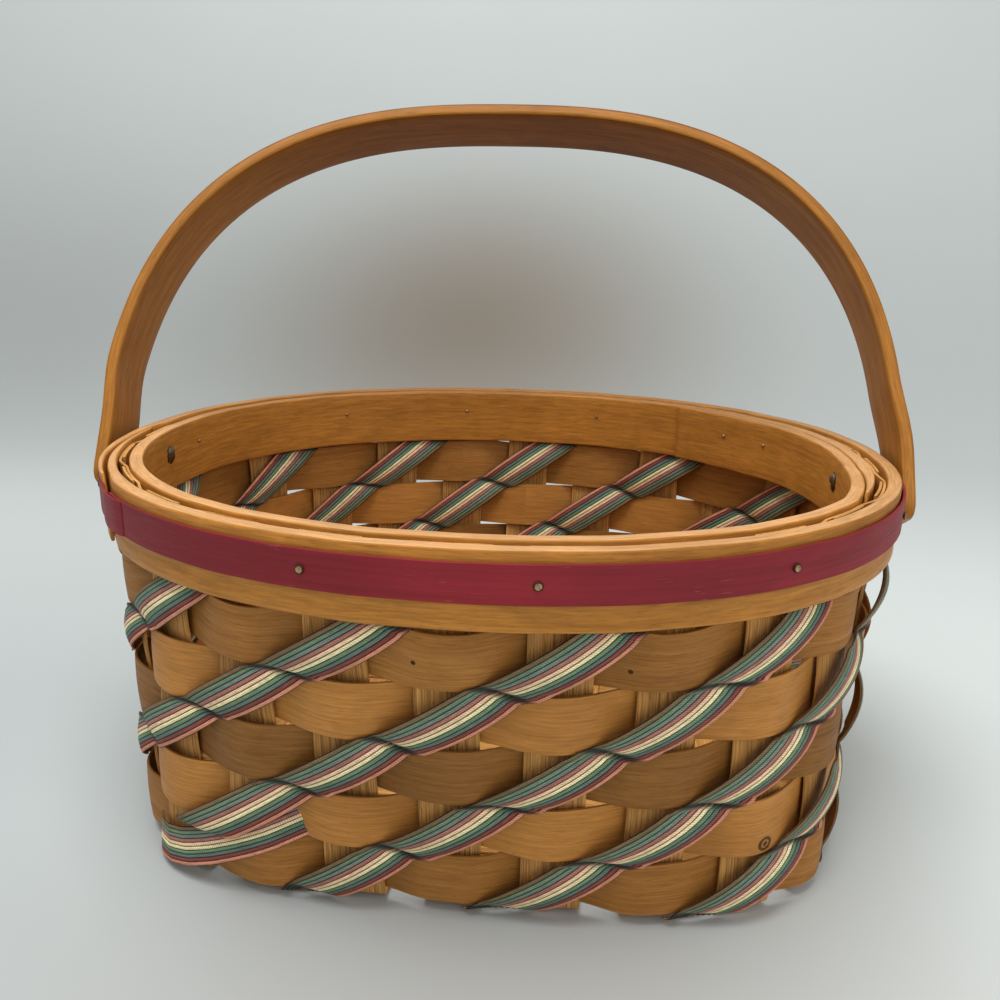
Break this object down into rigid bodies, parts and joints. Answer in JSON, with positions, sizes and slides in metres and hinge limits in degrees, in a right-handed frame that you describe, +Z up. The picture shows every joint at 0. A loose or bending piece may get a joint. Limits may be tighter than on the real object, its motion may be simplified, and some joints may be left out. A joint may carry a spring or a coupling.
{
  "type": "woven splint basket",
  "caption": "Oval wood-splint basket with a rounded rectangular base, diagonal striped ribbons, lapped rim hoops, a painted trim strip and a swinging bow handle",
  "frame": {"origin": "on the table surface, under the middle of the basket", "axes": "+X along the length of the rim towards the right in the picture, +Y from the viewer's side to the back, +Z up"},
  "size_m": [0.3278, 0.2524, 0.2761],
  "materials": {
    "splint": "satin, ribbed grain",
    "weaver": "satin",
    "hoop": "satin varnish",
    "trim": "satin stain",
    "handle": "satin varnish",
    "pin": "dull",
    "nail": "dull",
    "ribbon": "matt striped cord"
  },
  "bodies": {
    "basket": {"splint_cross_1": "splint", "splint_cross_2": "splint", "splint_cross_3": "splint", "splint_cross_4": "splint", "splint_cross_5": "splint", "splint_cross_6": "splint", "splint_cross_7": "splint", "splint_long_1": "splint", "splint_long_2": "splint", "splint_long_3": "splint", "splint_long_4": "splint", "splint_long_5": "splint", "weaver_row_1": "weaver", "weaver_row_2": "weaver", "weaver_row_3": "weaver", "weaver_row_4": "weaver", "weaver_row_5": "weaver", "weaver_rim": "weaver", "hoop_outer": "hoop", "hoop_inner": "hoop", "trim_strip": "trim", "handle_pin_right": "pin", "handle_pin_left": "pin", "rim_nail_1": "nail", "rim_nail_2": "nail", "rim_nail_3": "nail", "rim_nail_4": "nail", "rim_nail_5": "nail", "rim_nail_6": "nail", "rim_nail_7": "nail", "rim_nail_8": "nail", "rim_nail_9": "nail", "rim_nail_10": "nail", "rim_nail_11": "nail", "ribbon_outer_1": "ribbon", "ribbon_outer_2": "ribbon", "ribbon_outer_3": "ribbon", "ribbon_outer_4": "ribbon", "ribbon_outer_5": "ribbon", "ribbon_outer_6": "ribbon", "ribbon_outer_7": "ribbon", "ribbon_outer_8": "ribbon", "ribbon_outer_9": "ribbon", "ribbon_outer_10": "ribbon", "ribbon_outer_11": "ribbon", "ribbon_outer_12": "ribbon", "ribbon_inner_1": "ribbon", "ribbon_inner_2": "ribbon", "ribbon_inner_3": "ribbon", "ribbon_inner_4": "ribbon", "ribbon_inner_5": "ribbon", "ribbon_inner_6": "ribbon", "ribbon_inner_7": "ribbon", "ribbon_inner_8": "ribbon", "ribbon_inner_9": "ribbon", "ribbon_inner_10": "ribbon", "ribbon_inner_11": "ribbon", "ribbon_inner_12": "ribbon"},
    "handle": {"swing_handle": "handle"}
  },
  "joints": [
    {"name": "handle_swing", "type": "hinge", "parent": "basket", "child": "handle", "pos_m": [0, 0, 0.133], "axis": [1, 0, 0], "range_deg": [-81, 139]}
  ]
}
